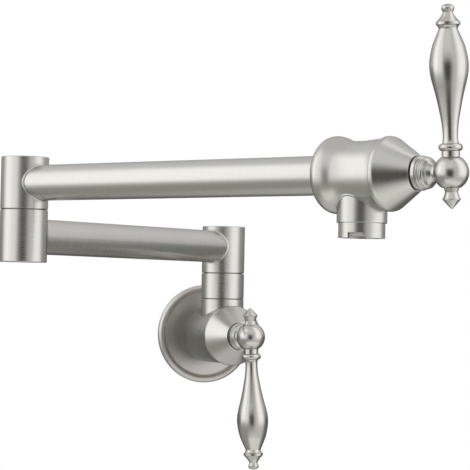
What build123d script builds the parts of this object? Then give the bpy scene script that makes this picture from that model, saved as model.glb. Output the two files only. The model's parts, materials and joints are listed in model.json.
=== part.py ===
from build123d import *
import os
from math import cos, radians, sin, sqrt

# Wall mounted pot filler with two folding arms, a wall valve and a spout valve.
# Millimetres and degrees. The wall is the plane Y = 0, the room is towards -Y, and Z is up.
# The origin is where the inlet's axis meets the wall.

# ---------------------------------------------------------------- driving dimensions

# Arms
column_reach = 42.0  # wall to the column's axis
lower_arm_length = 212.0  # column axis to elbow axis
lower_arm_angle = 35.5  # lower arm, turned out from the wall
upper_arm_angle = 57.8  # upper arm, turned out from the wall
lower_arm_height = 61.7  # lower arm's axis above the inlet's axis
tube_diameter = 22.2
tube_wall = 1.2

# Sleeves, which the arm tubes are joined to
sleeve_diameter = 29.8
sleeve_height = 32.6
sleeve_bevel = 0.4
column_sleeve_drop = 2.0  # the column sleeve's middle lies this far under the arm's axis
saddle_rim_width = 0.7  # raised rim around each tube, where it meets its sleeve
saddle_rim_height = 0.3

# Pivots inside the sleeves
pivot_diameter = 20.0
pivot_bore = 12.0  # waterway up the post
post_foot_diameter = 22.8
post_foot_depth = 9.0
post_end_wall = 2.5
cross_port_diameter = 7.0
cross_port_count = 4
gallery_diameter = 24.6  # ring channel round the post at each arm
gallery_height = 9.0
sleeve_port_diameter = 12.0
crown_diameter = 25.0  # recess for the retaining disc and the cap
cap_thickness = 2.4
retainer_thickness = 1.8
washer_diameter = 26.8
washer_recess = 0.9
o_ring_section = 1.8
o_ring_squeeze = 0.1  # how far each groove is shallower than its O-ring

# Wall flange and plate
flange_diameter = 69.9
flange_height = 6.4
flange_sheet = 1.2
flange_bead_width = 4.4
flange_bead_tuck = 1.2  # how far the bead curves back in at the wall
flange_bead_waist = 3.0  # height of the bead's widest place
flange_slope_width = 1.9  # from the bead down to the dished face
dish_outer_height = 3.9
dish_inner_height = 3.2
gasket_thickness = 0.8
gasket_width = 2.4
plate_thickness = 2.0
plate_inset = 2.0  # gasket to plate
screw_inset = 6.0  # screw circle to the plate's edge
screw_hole_diameter = 4.5
screw_hole_count = 3

# Inlet spigot, with a hole threaded for 1/2 inch pipe
spigot_diameter = 26.0
spigot_length = 27.0
spigot_flange_diameter = 29.8
spigot_flange_thickness = 2.6
inlet_thread_diameter = 19.0
inlet_thread_depth = 15.0
inlet_o_ring_places = (12.5, 16.5)  # distances from the wall
body_screw_place = 22.0  # distance from the wall
body_screw_diameter = 5.0

# Valve body on the wall
barrel_diameter = 39.4
barrel_start = 16.0  # wall to the barrel's back edge
barrel_rounding = 0.8
neck_diameter = 30.0  # narrower back end, which the flange goes round
boss_rise = 5.4  # how far the column's boss stands over the barrel
wall_seat = 64.0  # wall to the bonnet's seat

# Spout valve, measured along the upper arm from the elbow's axis
spout_start = 235.2
spout_shoulder = 6.6  # rounding radius of the back end
spout_crest_diameter = 43.2
spout_slope_place = 249.5
spout_slope_diameter = 39.0
spout_waist_place = 257.0
spout_waist_diameter = 36.9
spout_flare_place = 267.0
spout_flare_diameter = 37.9
spout_rim_diameter = 40.4
spout_rim_flare = 0.3  # how steeply the body widens at the bonnet
spout_seat = 276.0
tube_socket_depth = 7.5

# Nozzle and aerator, under the spout valve
nozzle_place = 258.6
nozzle_diameter = 27.8
nozzle_bore = 21.0
nozzle_drop = 26.7  # arm axis to the nozzle's lower edge
nozzle_bevel = 0.3
nozzle_port_diameter = 18.0
nozzle_ledge_bore = 18.0  # ledge that the aerator's washer seals on
nozzle_ledge_thickness = 1.5
aerator_diameter = 25.8
aerator_thread_diameter = 24.0
aerator_drop = 34.9  # arm axis to the aerator's lower edge
aerator_bore = 21.8
aerator_engagement = 4.0  # how far the aerator goes up into the nozzle
aerator_lip = 1.2
aerator_lip_bore = 19.2
aerator_notch_width = 9.5
aerator_notch_height = 2.9
aerator_notch_angle = 36.6  # turned from straight out of the wall, towards the elbow
insert_height = 8.4
insert_hole_diameter = 3.0
insert_hole_spacing = 4.0
insert_hole_rings = 2

# Valve core, the same in both valves
chamber_diameter = 24.0
chamber_depth = 33.0
waterway_diameter = 12.0
seal_thickness = 1.5
seal_bore = 14.0
cartridge_cavity_diameter = 20.0
cartridge_cavity_top = 18.0  # depth of the cavity's roof under the bonnet's seat
cartridge_neck_diameter = 15.0
cartridge_neck_top = 16.0  # height of the neck over the bonnet's seat
window_diameter = 8.0
window_depth = 23.5  # depth of the side windows under the bonnet's seat
disc_thickness = 3.5
disc_port_diameter = 6.0
disc_port_offset = 5.5
disc_edge_gap = 0.4
stem_diameter = 8.0
stem_foot_diameter = 17.2
stem_foot_thickness = 2.5
stem_collar_diameter = 12.0

# Bonnet
bonnet_length = 19.2
bonnet_rim_diameter = 41.2
bonnet_rim_height = 2.6
bonnet_rim_bevel = 0.5
bonnet_rim_rounding = 3.6
bonnet_front_diameter = 19.8
bonnet_front_rounding = 0.3
bonnet_spigot = 2.0  # how far the bonnet reaches into the chamber
glide_ring_diameter = 18.2
glide_ring_recess = 1.2
glide_ring_proud = 0.8

# Handle
ball_place = 40.2  # bonnet's seat to the ball's centre
ball_diameter = 19.2
hub_diameter = 19.0
hub_neck_diameter = 9.2
hub_bore_depth = 6.0
hub_band_height = 1.9
hub_groove_width = 0.3
hub_groove_depth = 0.8
hub_bead_width = 1.2
hub_bead_height = 0.5
hub_bead_step = 0.3  # each bead is this much smaller all round than the one before
hub_dome_place = 5.1  # hub's base to the dome's start
hub_dome_step = 0.9
hub_dome_height = 2.5  # dome's start to where the neck's curve begins
hub_dome_shoulder = 1.6  # how much wider than the neck the dome is there
hub_neck_length = 1.2
handle_gap = 0.3
lever_foot_diameter = 9.7
lever_stud_diameter = 6.0
lever_stud_start = 1.0  # ball centre to the stud's end
lever_bead_start = 11.3  # the lever's places up to its shoulder are measured from the ball's centre
lever_bead_place = 13.5
lever_bead_diameter = 13.0
lever_bead_end = 15.3
lever_bead_end_diameter = 9.2
lever_bead_slope = 0.5  # how steeply the lever narrows behind its bead
lever_neck_place = 18.2
lever_neck_diameter = 8.2
lever_swell_place = 31.2
lever_swell_diameter = 10.9
lever_flank_place = 43.9
lever_flank_diameter = 16.4
lever_belly_place = 58.0
lever_belly_diameter = 20.9
lever_shoulder_place = 66.2
lever_shoulder_diameter = 18.0
lever_length = 89.3
lever_wrist_back = 13.3  # the places from the wrist on are measured back from the lever's end
lever_wrist_diameter = 10.2
lever_wrist_slope = 0.42  # how steeply the lever narrows at its wrist
lever_cap_cove_back = 12.1
lever_cap_cove_diameter = 11.0
lever_cap_back = 9.7
lever_cap_diameter = 13.1
lever_cap_thickness = 1.3
lever_cove_back = 7.4
lever_cove_diameter = 8.8
lever_knob_neck_back = 4.6
lever_knob_neck_diameter = 5.3
lever_knob_back = 2.3
lever_knob_diameter = 7.1
lever_knob_edge_back = 1.1
lever_knob_edge_diameter = 6.2
finial_foot_diameter = 8.2
finial_neck_place = 10.6
finial_neck_diameter = 6.9
finial_widest_place = 14.4
finial_widest_diameter = 10.0
finial_widest_rounding = 0.4
finial_tip_diameter = 1.6
finial_length = 19.5
hub_screw_place = 4.9  # hub's base to the grub screw's axis
hub_screw_diameter = 3.0
hub_screw_length = 3.2
wall_lever_lean = 2.5  # how far each lever stands open at rest
spout_lever_lean = 4.0

# Clearances
seam_gap = 0.3  # between pieces that turn against each other
running_gap = 0.06  # all round a post or stem that turns in its bore
fixed_gap = 0.03  # all round a piece that is fixed in its seat
face_gap = 0.05  # between faces that slide on each other

# ---------------------------------------------------------------- derived sizes

tube_radius = tube_diameter / 2
sleeve_radius = sleeve_diameter / 2
pivot_radius = pivot_diameter / 2
ball_radius = ball_diameter / 2
chamber_radius = chamber_diameter / 2
waterway_radius = waterway_diameter / 2
gasket_radius = flange_diameter / 2 - flange_bead_tuck
plate_radius = gasket_radius - gasket_width - plate_inset

elbow_seam = lower_arm_height + sleeve_height / 2
elbow_bottom = elbow_seam - sleeve_height
upper_sleeve_bottom = elbow_seam + seam_gap
upper_arm_height = upper_sleeve_bottom + sleeve_height / 2
elbow_top = upper_sleeve_bottom + sleeve_height
column_sleeve_bottom = lower_arm_height - column_sleeve_drop - sleeve_height / 2
column_sleeve_top = column_sleeve_bottom + sleeve_height
collar_top = column_sleeve_bottom - seam_gap
boss_top = barrel_diameter / 2 + boss_rise
cartridge_base = seal_thickness - chamber_depth
stem_disc_base = cartridge_base + disc_thickness + face_gap
hub_base = bonnet_length + glide_ring_proud + handle_gap
stem_top = hub_base + hub_bore_depth
lever_flat = sqrt(ball_radius**2 - (lever_foot_diameter / 2) ** 2)

up = Vector(0, 0, 1)
room = Vector(0, -1, 0)
lower_heading = Vector(-cos(radians(lower_arm_angle)), -sin(radians(lower_arm_angle)), 0)
upper_heading = Vector(cos(radians(upper_arm_angle)), -sin(radians(upper_arm_angle)), 0)
column_base = room * column_reach
elbow_base = column_base + lower_heading * lower_arm_length


# ---------------------------------------------------------------- building blocks


def bar(start, end, radius):
    """Round bar about Z, from one height to another."""
    return Pos(0, 0, start) * extrude(Circle(radius), end - start)


def ring(start, end, outer, inner):
    """Round tube about Z, from one height to another."""
    return Pos(0, 0, start) * extrude(Circle(outer) - Circle(inner), end - start)


def turned(*corners):
    """Solid turned about Z. A corner is (radius, height) or (radius, height, rounding)."""
    points = [corner[:2] for corner in corners]
    roundings = [corner[2] if len(corner) > 2 else 0 for corner in corners]
    outline = FilletPolyline(*points, radius=roundings, close=True)
    return turned_outline(outline)


def turned_outline(*edges):
    """Solid turned about Z from a closed outline of edges, drawn as (radius, height)."""
    return revolve(Plane.XZ * make_face(edges))


def level_axis(base, height, heading):
    """Plane whose Z runs along a level heading and whose Y is up."""
    return Plane(origin=base + up * height, x_dir=up.cross(heading), z_dir=heading)


def upright(base):
    """Upright axis over a point of the inlet's level."""
    return Pos(base.X, base.Y, base.Z)


def joined(pieces):
    """Several solids as one."""
    whole = pieces[0]
    for piece in pieces[1:]:
        whole += piece
    return whole


def spokes(count, reach, radius):
    """Bars that point out from Z, evenly round it."""
    spoke = Plane.XZ * extrude(Circle(radius), reach)
    return joined([Rot(0, 0, 360 / count * turn) * spoke for turn in range(count)])


# ---------------------------------------------------------------- sleeves and pivots


def sleeve_blank(bottom, top):
    """Solid sleeve with bevelled edges."""
    return turned(
        (0, bottom),
        (sleeve_radius - sleeve_bevel, bottom),
        (sleeve_radius, bottom + sleeve_bevel),
        (sleeve_radius, top - sleeve_bevel),
        (sleeve_radius - sleeve_bevel, top),
        (0, top),
    )


def saddle_rim(height, heading):
    """Raised rim on a sleeve, round the tube that meets it."""
    tube_axis = level_axis(Vector(0, 0, 0), height, heading)
    collar = tube_axis * ring(0, sleeve_diameter, tube_radius + saddle_rim_width, tube_radius + fixed_gap)
    reach = sleeve_radius + saddle_rim_height
    core = sleeve_radius - saddle_rim_height
    return collar & ring(height - sleeve_radius, height + sleeve_radius, reach, core)


def arm_sleeve(bottom, height, heading):
    """Sleeve with its ring channel, its port and its rim for one arm tube."""
    sleeve = sleeve_blank(bottom, bottom + sleeve_height)
    sleeve += saddle_rim(height, heading)
    sleeve -= bar(height - gallery_height / 2, height + gallery_height / 2, gallery_diameter / 2)
    port = level_axis(Vector(0, 0, 0), height, heading)
    return sleeve - port * bar(0, sleeve_diameter, sleeve_port_diameter / 2)


def turning_sleeve(bottom, height, heading):
    """Arm sleeve that turns on a post, with a recess in its crown."""
    top = bottom + sleeve_height
    crown_floor = top - cap_thickness - retainer_thickness - 2 * seam_gap
    sleeve = arm_sleeve(bottom, height, heading)
    sleeve -= bar(bottom, top, pivot_radius + running_gap)
    return sleeve - bar(crown_floor, top, crown_diameter / 2)


def crown_cap(top):
    """Flat cap that closes a sleeve's crown."""
    return bar(top - cap_thickness, top, crown_diameter / 2 - fixed_gap)


def retainer(sleeve_top):
    """Disc on a post's end that holds the sleeve down."""
    disc_top = sleeve_top - cap_thickness - seam_gap
    return bar(disc_top - retainer_thickness, disc_top, crown_diameter / 2 - seam_gap)


def o_ring_floor(outer):
    """Radius of the groove floor for an O-ring that fills a bore of this radius."""
    return outer - o_ring_section + o_ring_squeeze


def o_ring(place, bore_radius):
    """O-ring in its groove, just inside a bore."""
    inner = o_ring_floor(bore_radius) + fixed_gap
    section = (bore_radius - fixed_gap - inner) / 2
    return Pos(0, 0, place) * Torus(inner + section, section)


def o_ring_groove(place, shaft_radius, bore_radius):
    """Groove cut in a shaft for one O-ring."""
    half = o_ring_section / 2 + face_gap
    return ring(place - half, place + half, shaft_radius + fixed_gap, o_ring_floor(bore_radius))


def sleeve_o_ring_places(bottom, height):
    """Heights of the two O-rings of a turning sleeve, over and under its ring channel."""
    crown_floor = bottom + sleeve_height - cap_thickness - retainer_thickness - 2 * seam_gap
    upper_end = height + gallery_height / 2
    return ((bottom + height - gallery_height / 2) / 2, (upper_end + crown_floor) / 2)


def sleeve_o_rings(bottom, height):
    """Both O-rings of a turning sleeve."""
    places = sleeve_o_ring_places(bottom, height)
    return joined([o_ring(place, pivot_radius + running_gap) for place in places])


def pivot_post(foot, foot_top, foot_radius, sleeve_bottom, height, ports):
    """Hollow post with its foot, its O-ring grooves and its cross ports."""
    sleeve_top = sleeve_bottom + sleeve_height
    end = sleeve_top - cap_thickness - seam_gap - retainer_thickness
    post = bar(foot, foot_top, foot_radius) + bar(foot_top, end, pivot_radius)
    for place in sleeve_o_ring_places(sleeve_bottom, height):
        post -= o_ring_groove(place, pivot_radius, pivot_radius + running_gap)
    for port in ports:
        post -= Pos(0, 0, port) * spokes(cross_port_count, pivot_diameter, cross_port_diameter / 2)
    return post


def thrust_washer(seam):
    """Plastic washer, let into the fixed piece below a seam."""
    top = seam + seam_gap - face_gap
    return ring(seam - washer_recess, top, washer_diameter / 2, pivot_radius + fixed_gap)


def washer_seat(seam):
    """Recess for a thrust washer."""
    return bar(seam - washer_recess, seam, washer_diameter / 2 + fixed_gap)


def arm_tube(height, heading, length):
    """Arm tube from one axis over a length, cut to fit the sleeve at its start."""
    tube = ring(0, length, tube_radius, tube_radius - tube_wall)
    tube = level_axis(Vector(0, 0, 0), height, heading) * tube
    return tube - bar(height - sleeve_radius, height + sleeve_radius, sleeve_radius + fixed_gap)


# ---------------------------------------------------------------- valve core and handle
# Z runs outwards along the valve's axis from the bonnet's seat, and the handle's lever points to +Y.


def disc_ports(turn):
    """Two ports of a ceramic disc."""
    hole = Pos(disc_port_offset, 0, -chamber_depth) * bar(0, chamber_depth, disc_port_diameter / 2)
    return Rot(0, 0, turn) * hole + Rot(0, 0, turn + 180) * hole


def fixed_disc():
    """Ceramic disc that stays in the cartridge."""
    radius = cartridge_cavity_diameter / 2 - fixed_gap
    return bar(cartridge_base, cartridge_base + disc_thickness, radius) - disc_ports(90)


def stem_disc():
    """Ceramic disc that turns with the stem."""
    radius = cartridge_cavity_diameter / 2 - disc_edge_gap
    return bar(stem_disc_base, stem_disc_base + disc_thickness, radius) - disc_ports(0)


def base_seal():
    """Rubber seal between the cartridge and the chamber's floor."""
    return ring(-chamber_depth, cartridge_base, chamber_radius - fixed_gap, seal_bore / 2)


def cartridge_shell():
    """Shell of the cartridge, open below, with two side windows."""
    bore = stem_diameter / 2 + running_gap
    shell = turned(
        (cartridge_cavity_diameter / 2, cartridge_base),
        (chamber_radius - fixed_gap, cartridge_base),
        (chamber_radius - fixed_gap, -bonnet_spigot),
        (cartridge_neck_diameter / 2, -bonnet_spigot),
        (cartridge_neck_diameter / 2, cartridge_neck_top),
        (bore, cartridge_neck_top),
        (bore, -cartridge_cavity_top),
        (cartridge_cavity_diameter / 2, -cartridge_cavity_top),
    )
    return shell - Pos(0, 0, -window_depth) * spokes(2, chamber_diameter, window_diameter / 2)


def stem():
    """Stem with a foot on the turning disc and a collar under the cavity's roof."""
    foot = stem_disc_base + disc_thickness
    return (
        bar(foot, foot + stem_foot_thickness, stem_foot_diameter / 2)
        + bar(foot, -cartridge_cavity_top - seam_gap, stem_collar_diameter / 2)
        + bar(foot, stem_top, stem_diameter / 2)
    )


def bonnet():
    """Hollow cone that holds the cartridge down."""
    rim = bonnet_rim_diameter / 2
    bore = cartridge_neck_diameter / 2 + fixed_gap
    recess = glide_ring_diameter / 2 + fixed_gap
    return turned(
        (bore, -bonnet_spigot),
        (chamber_radius - fixed_gap, -bonnet_spigot),
        (chamber_radius - fixed_gap, 0),
        (rim - bonnet_rim_bevel, 0),
        (rim, bonnet_rim_bevel),
        (rim, bonnet_rim_height, bonnet_rim_rounding),
        (bonnet_front_diameter / 2, bonnet_length, bonnet_front_rounding),
        (recess, bonnet_length),
        (recess, bonnet_length - glide_ring_recess),
        (bore, bonnet_length - glide_ring_recess),
    )


def glide_ring():
    """Black ring that the handle's hub runs on."""
    start = bonnet_length - glide_ring_recess
    end = bonnet_length + glide_ring_proud
    return ring(start, end, glide_ring_diameter / 2, stem_diameter / 2 + seam_gap)


def hub_bead(radius, start):
    """Outline of one small bead of the hub."""
    middle = (radius + hub_bead_height, start + hub_bead_width / 2)
    return ThreePointArc((radius, start), middle, (radius, start + hub_bead_width))


def handle_hub():
    """Hub with turned beads, a dome, a neck and the ball that carries the lever."""
    edge = hub_diameter / 2
    neck = hub_neck_diameter / 2
    ball_end = ball_place - sqrt(ball_radius**2 - neck**2)
    dome_start = hub_base + hub_dome_place
    dome_edge = edge - hub_dome_step
    first = hub_base + hub_band_height + hub_groove_width
    second = first + hub_bead_width + hub_groove_width
    groove = edge - hub_groove_depth
    inner_groove = groove - hub_bead_step
    band = Polyline((0, hub_base), (edge, hub_base), (edge, hub_base + hub_band_height), (groove, first))
    first_bead = hub_bead(groove, first)
    groove_wall = Line((groove, first + hub_bead_width), (inner_groove, second))
    second_bead = hub_bead(inner_groove, second)
    step = Line((inner_groove, second + hub_bead_width), (dome_edge, dome_start))
    dome = Spline(
        (dome_edge, dome_start),
        (neck + hub_dome_shoulder, dome_start + hub_dome_height),
        (neck, ball_end - hub_neck_length),
        (neck, ball_end),
        tangents=[(0, 1), (-1, 1.3), (-0.1, 1), (0.2, 1)],
    )
    ball = ThreePointArc((neck, ball_end), (ball_radius, ball_place), (0, ball_place + ball_radius))
    axis = Line((0, ball_place + ball_radius), (0, hub_base))
    hub = turned_outline(band, first_bead, groove_wall, second_bead, step, dome, ball, axis)
    hub -= bar(hub_base, stem_top, stem_diameter / 2 + fixed_gap)
    hub -= lever_axis * bar(-lever_flat, lever_flat, lever_stud_diameter / 2 + fixed_gap)
    hub -= lever_axis * bar(lever_flat, ball_diameter, lever_foot_diameter / 2 + seam_gap)
    hub -= lever_axis * bar(-ball_diameter, -lever_flat, lever_foot_diameter / 2 + seam_gap)
    return hub - screw_axis * bar(0, hub_diameter, hub_screw_diameter / 2 + fixed_gap)


def stud():
    """Corners of the stud that holds a lever or a finial in the ball."""
    radius = lever_stud_diameter / 2
    return ((0, lever_stud_start), (radius, lever_stud_start), (radius, lever_flat))


def lever():
    """Baluster lever with a bead at its foot, a cap and a small knob at its end."""
    foot = lever_foot_diameter / 2
    bead_end = (lever_bead_end_diameter / 2, lever_bead_end)
    wrist = (lever_wrist_diameter / 2, lever_length - lever_wrist_back)
    cap_cove = (lever_cap_cove_diameter / 2, lever_length - lever_cap_cove_back)
    cap_end = (lever_cap_diameter / 2, lever_length - lever_cap_back)
    cap_start = (cap_end[0], cap_end[1] - lever_cap_thickness)
    cove = (lever_cove_diameter / 2, lever_length - lever_cove_back)
    knob_neck = (lever_knob_neck_diameter / 2, lever_length - lever_knob_neck_back)
    knob = (lever_knob_diameter / 2, lever_length - lever_knob_back)
    knob_waist = ((knob_neck[0] + knob[0]) / 2, (knob_neck[1] + knob[1]) / 2)
    knob_edge = (lever_knob_edge_diameter / 2, lever_length - lever_knob_edge_back)
    edges = [
        Polyline(*stud(), (foot, lever_flat), (foot, lever_bead_start)),
        ThreePointArc((foot, lever_bead_start), (lever_bead_diameter / 2, lever_bead_place), bead_end),
        Spline(
            bead_end,
            (lever_neck_diameter / 2, lever_neck_place),
            (lever_swell_diameter / 2, lever_swell_place),
            (lever_flank_diameter / 2, lever_flank_place),
            (lever_belly_diameter / 2, lever_belly_place),
            (lever_shoulder_diameter / 2, lever_shoulder_place),
            wrist,
            tangents=[(-lever_bead_slope, 1), (-lever_wrist_slope, 1)],
        ),
        ThreePointArc(wrist, cap_cove, cap_start),
        Line(cap_start, cap_end),
        ThreePointArc(cap_end, cove, knob_neck),
        Line(knob_neck, knob_waist),
        ThreePointArc(knob_waist, knob, knob_edge),
        TangentArc((0, lever_length), knob_edge, tangent=(1, 0)),
        Line((0, lever_length), (0, lever_stud_start)),
    ]
    return lever_axis * turned_outline(*edges)


def finial():
    """Pointed finial opposite the lever."""
    foot = finial_foot_diameter / 2
    widest = finial_widest_diameter / 2
    rounding = finial_widest_rounding
    tip = finial_tip_diameter / 2
    point = finial_length - tip / 2
    edges = [
        Polyline(
            *stud(),
            (foot, lever_flat),
            (finial_neck_diameter / 2, finial_neck_place),
            (widest - rounding, finial_widest_place - rounding),
        ),
        ThreePointArc(
            (widest - rounding, finial_widest_place - rounding),
            (widest, finial_widest_place),
            (widest - rounding, finial_widest_place + rounding),
        ),
        Line((widest - rounding, finial_widest_place + rounding), (tip, point)),
        TangentArc((0, finial_length), (tip, point), tangent=(1, 0)),
        Line((0, finial_length), (0, lever_stud_start)),
    ]
    return finial_axis * turned_outline(*edges)


def hub_screw():
    """Grub screw that holds the hub on the stem."""
    start = stem_diameter / 2 + face_gap
    return screw_axis * bar(start, start + hub_screw_length, hub_screw_diameter / 2)


lever_axis = level_axis(Vector(0, 0, 0), ball_place, Vector(0, 1, 0))
finial_axis = level_axis(Vector(0, 0, 0), ball_place, Vector(0, -1, 0))
screw_axis = level_axis(Vector(0, 0, 0), hub_base + hub_screw_place, Vector(0, -1, 0))

# ---------------------------------------------------------------- wall side

inlet_axis = level_axis(Vector(0, 0, 0), 0, room)
wall_valve_seat = level_axis(room * wall_seat, 0, room)
nodes = {}


def flange_face(lowering):
    """Edges from the bead's crest down the dished face to the hole, at a depth under the front."""
    outer = flange_diameter / 2
    crest = Vector(outer - flange_bead_width / 2, flange_height - lowering)
    dish = Vector(outer - flange_bead_width - flange_slope_width, dish_outer_height - lowering)
    hole = Vector(neck_diameter / 2 + seam_gap, dish_inner_height - lowering)
    return Spline(crest, dish, tangents=[(-1, 0), hole - dish]), Line(dish, hole)


def flange_roll(inset):
    """Arc round the flange's rim, from the wall to the bead's crest, at a depth under its outside."""
    outer = flange_diameter / 2
    return ThreePointArc(
        (outer - flange_bead_tuck - inset, gasket_thickness),
        (outer - inset, flange_bead_waist),
        (outer - flange_bead_width / 2, flange_height - inset),
    )


def wall_flange():
    """Pressed flange with a rolled rim and a dished face."""
    front, back = flange_face(0), flange_face(flange_sheet)
    outside, inside = flange_roll(0), flange_roll(flange_sheet)
    hole = Line(front[1] @ 1, back[1] @ 1)
    foot = Line(inside @ 0, outside @ 0)
    return turned_outline(outside, *front, hole, *back, inside, foot)


def mounting_plate():
    """Steel plate with the holes for the wall screws."""
    plate = ring(0, plate_thickness, plate_radius, spigot_diameter / 2 + fixed_gap)
    hole = Pos(0, plate_radius - screw_inset, 0) * bar(0, plate_thickness, screw_hole_diameter / 2)
    for turn in range(screw_hole_count):
        plate -= Rot(0, 0, 360 / screw_hole_count * turn) * hole
    return plate


def inlet_spigot():
    """Spigot that screws onto the wall pipe and clamps the plate."""
    flange_end = plate_thickness + spigot_flange_thickness
    spigot = bar(0, spigot_length, spigot_diameter / 2)
    spigot += bar(plate_thickness, flange_end, spigot_flange_diameter / 2)
    spigot -= bar(0, inlet_thread_depth, inlet_thread_diameter / 2)
    spigot -= bar(0, spigot_length, waterway_radius)
    for place in inlet_o_ring_places:
        spigot -= o_ring_groove(place, spigot_diameter / 2, spigot_diameter / 2 + running_gap)
    return spigot


def valve_body():
    """Barrel with a narrower back end, a boss for the column, and its bores."""
    neck_start = plate_thickness + spigot_flange_thickness + seam_gap
    neck = neck_diameter / 2
    barrel = barrel_diameter / 2
    body = inlet_axis * turned(
        (0, neck_start),
        (neck, neck_start),
        (neck, barrel_start),
        (barrel, barrel_start, barrel_rounding),
        (barrel, wall_seat),
        (0, wall_seat),
    )
    boss = turned((0, 0), (sleeve_radius, 0), (sleeve_radius, boss_top), (0, boss_top))
    body += upright(column_base) * chamfer(boss.edges().sort_by(Axis.Z)[-1], sleeve_bevel)
    spigot_end = spigot_length + seam_gap
    bores = (
        bar(neck_start, spigot_end, spigot_diameter / 2 + running_gap)
        + bar(neck_start, wall_seat, waterway_radius)
        + bar(wall_seat - chamber_depth, wall_seat, chamber_radius)
    )
    body -= inlet_axis * bores
    foot = bar(boss_top - post_foot_depth, boss_top, post_foot_diameter / 2 + fixed_gap)
    body -= upright(column_base) * (foot + bar(0, boss_top, pivot_bore / 2))
    return body - body_screw_axis * bar(0, barrel_diameter, body_screw_diameter / 2 + fixed_gap)


def column_collar():
    """Collar between the boss and the column sleeve, with a fine shadow gap at its foot."""
    collar = turned(
        (pivot_radius + fixed_gap, boss_top),
        (sleeve_radius - 2 * sleeve_bevel, boss_top),
        (sleeve_radius - 2 * sleeve_bevel, boss_top + seam_gap),
        (sleeve_radius - sleeve_bevel, boss_top + seam_gap),
        (sleeve_radius, boss_top + seam_gap + sleeve_bevel),
        (sleeve_radius, collar_top - sleeve_bevel),
        (sleeve_radius - sleeve_bevel, collar_top),
        (pivot_radius + fixed_gap, collar_top),
    )
    return collar - washer_seat(collar_top)


body_screw_axis = level_axis(room * body_screw_place, 0, room) * Rot(90, 0, 0)
column_post = pivot_post(
    boss_top - post_foot_depth,
    boss_top,
    post_foot_diameter / 2,
    column_sleeve_bottom,
    lower_arm_height,
    [lower_arm_height],
)
column_post -= bar(boss_top - post_foot_depth, lower_arm_height + gallery_height / 2, pivot_bore / 2)
spigot_bore = spigot_diameter / 2 + running_gap

nodes["wall_flange"] = inlet_axis * wall_flange()
nodes["flange_gasket"] = inlet_axis * ring(0, gasket_thickness, gasket_radius, gasket_radius - gasket_width)
nodes["mounting_plate"] = inlet_axis * mounting_plate()
nodes["inlet_spigot"] = inlet_axis * inlet_spigot()
nodes["inlet_o_rings"] = inlet_axis * joined([o_ring(place, spigot_bore) for place in inlet_o_ring_places])
nodes["valve_body"] = valve_body()
nodes["body_screw"] = body_screw_axis * bar(
    spigot_bore, barrel_diameter / 2 - barrel_rounding, body_screw_diameter / 2
)
nodes["column_post"] = upright(column_base) * column_post
nodes["column_collar"] = upright(column_base) * column_collar()
nodes["column_washer"] = upright(column_base) * thrust_washer(collar_top)
nodes["column_o_rings"] = upright(column_base) * sleeve_o_rings(column_sleeve_bottom, lower_arm_height)
nodes["column_retainer"] = upright(column_base) * retainer(column_sleeve_top)

# ---------------------------------------------------------------- lower arm


def elbow_lower_sleeve():
    """Sleeve that carries the elbow's post, closed by a cap below."""
    sleeve = arm_sleeve(elbow_bottom, lower_arm_height, lower_heading * -1)
    sleeve -= bar(elbow_bottom, elbow_seam, pivot_radius + fixed_gap)
    sleeve -= bar(elbow_bottom, elbow_bottom + cap_thickness, crown_diameter / 2)
    return sleeve - washer_seat(elbow_seam)


def lower_arm_tube():
    """Tube between the column's sleeve and the elbow's lower sleeve."""
    tube = upright(column_base) * arm_tube(lower_arm_height, lower_heading, lower_arm_length)
    return tube - upright(elbow_base) * bar(elbow_bottom, elbow_seam, sleeve_radius + fixed_gap)


post_foot = elbow_bottom + cap_thickness + seam_gap
elbow_post = pivot_post(
    post_foot,
    elbow_seam,
    pivot_radius,
    upper_sleeve_bottom,
    upper_arm_height,
    [lower_arm_height, upper_arm_height],
)
elbow_post -= bar(post_foot + post_end_wall, upper_arm_height + gallery_height / 2, pivot_bore / 2)

nodes["column_sleeve"] = upright(column_base) * turning_sleeve(
    column_sleeve_bottom, lower_arm_height, lower_heading
)
nodes["column_cap"] = upright(column_base) * crown_cap(column_sleeve_top)
nodes["lower_arm_tube"] = lower_arm_tube()
nodes["elbow_lower_sleeve"] = upright(elbow_base) * elbow_lower_sleeve()
nodes["elbow_bottom_cap"] = upright(elbow_base) * crown_cap(elbow_bottom + cap_thickness)
nodes["elbow_post"] = upright(elbow_base) * elbow_post
nodes["elbow_washer"] = upright(elbow_base) * thrust_washer(elbow_seam)
nodes["elbow_o_rings"] = upright(elbow_base) * sleeve_o_rings(upper_sleeve_bottom, upper_arm_height)
nodes["elbow_retainer"] = upright(elbow_base) * retainer(elbow_top)

# ---------------------------------------------------------------- upper arm and spout

upper_axis = level_axis(elbow_base, upper_arm_height, upper_heading)
spout_valve_seat = level_axis(elbow_base + upper_heading * spout_seat, upper_arm_height, upper_heading)
nozzle_axis = upright(elbow_base + upper_heading * nozzle_place + up * upper_arm_height)


def spout_form(growth):
    """Outside of the spout body, grown by a little all round, about the upper arm's axis."""
    crest = spout_crest_diameter / 2
    crest_place = spout_start + spout_shoulder
    foot = crest - spout_shoulder
    shoulder_middle = spout_shoulder * sqrt(0.5)
    edges = [
        Line((0, spout_start), (foot + growth, spout_start)),
        ThreePointArc(
            (foot + growth, spout_start),
            (foot + growth + shoulder_middle, crest_place - shoulder_middle),
            (crest + growth, crest_place),
        ),
        Spline(
            (crest + growth, crest_place),
            (spout_slope_diameter / 2 + growth, spout_slope_place),
            (spout_waist_diameter / 2 + growth, spout_waist_place),
            (spout_flare_diameter / 2 + growth, spout_flare_place),
            (spout_rim_diameter / 2 + growth, spout_seat),
            tangents=[(0, 1), (spout_rim_flare, 1)],
        ),
        Line((spout_rim_diameter / 2 + growth, spout_seat), (0, spout_seat)),
        Line((0, spout_seat), (0, spout_start)),
    ]
    return upper_axis * turned_outline(*edges)


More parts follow.
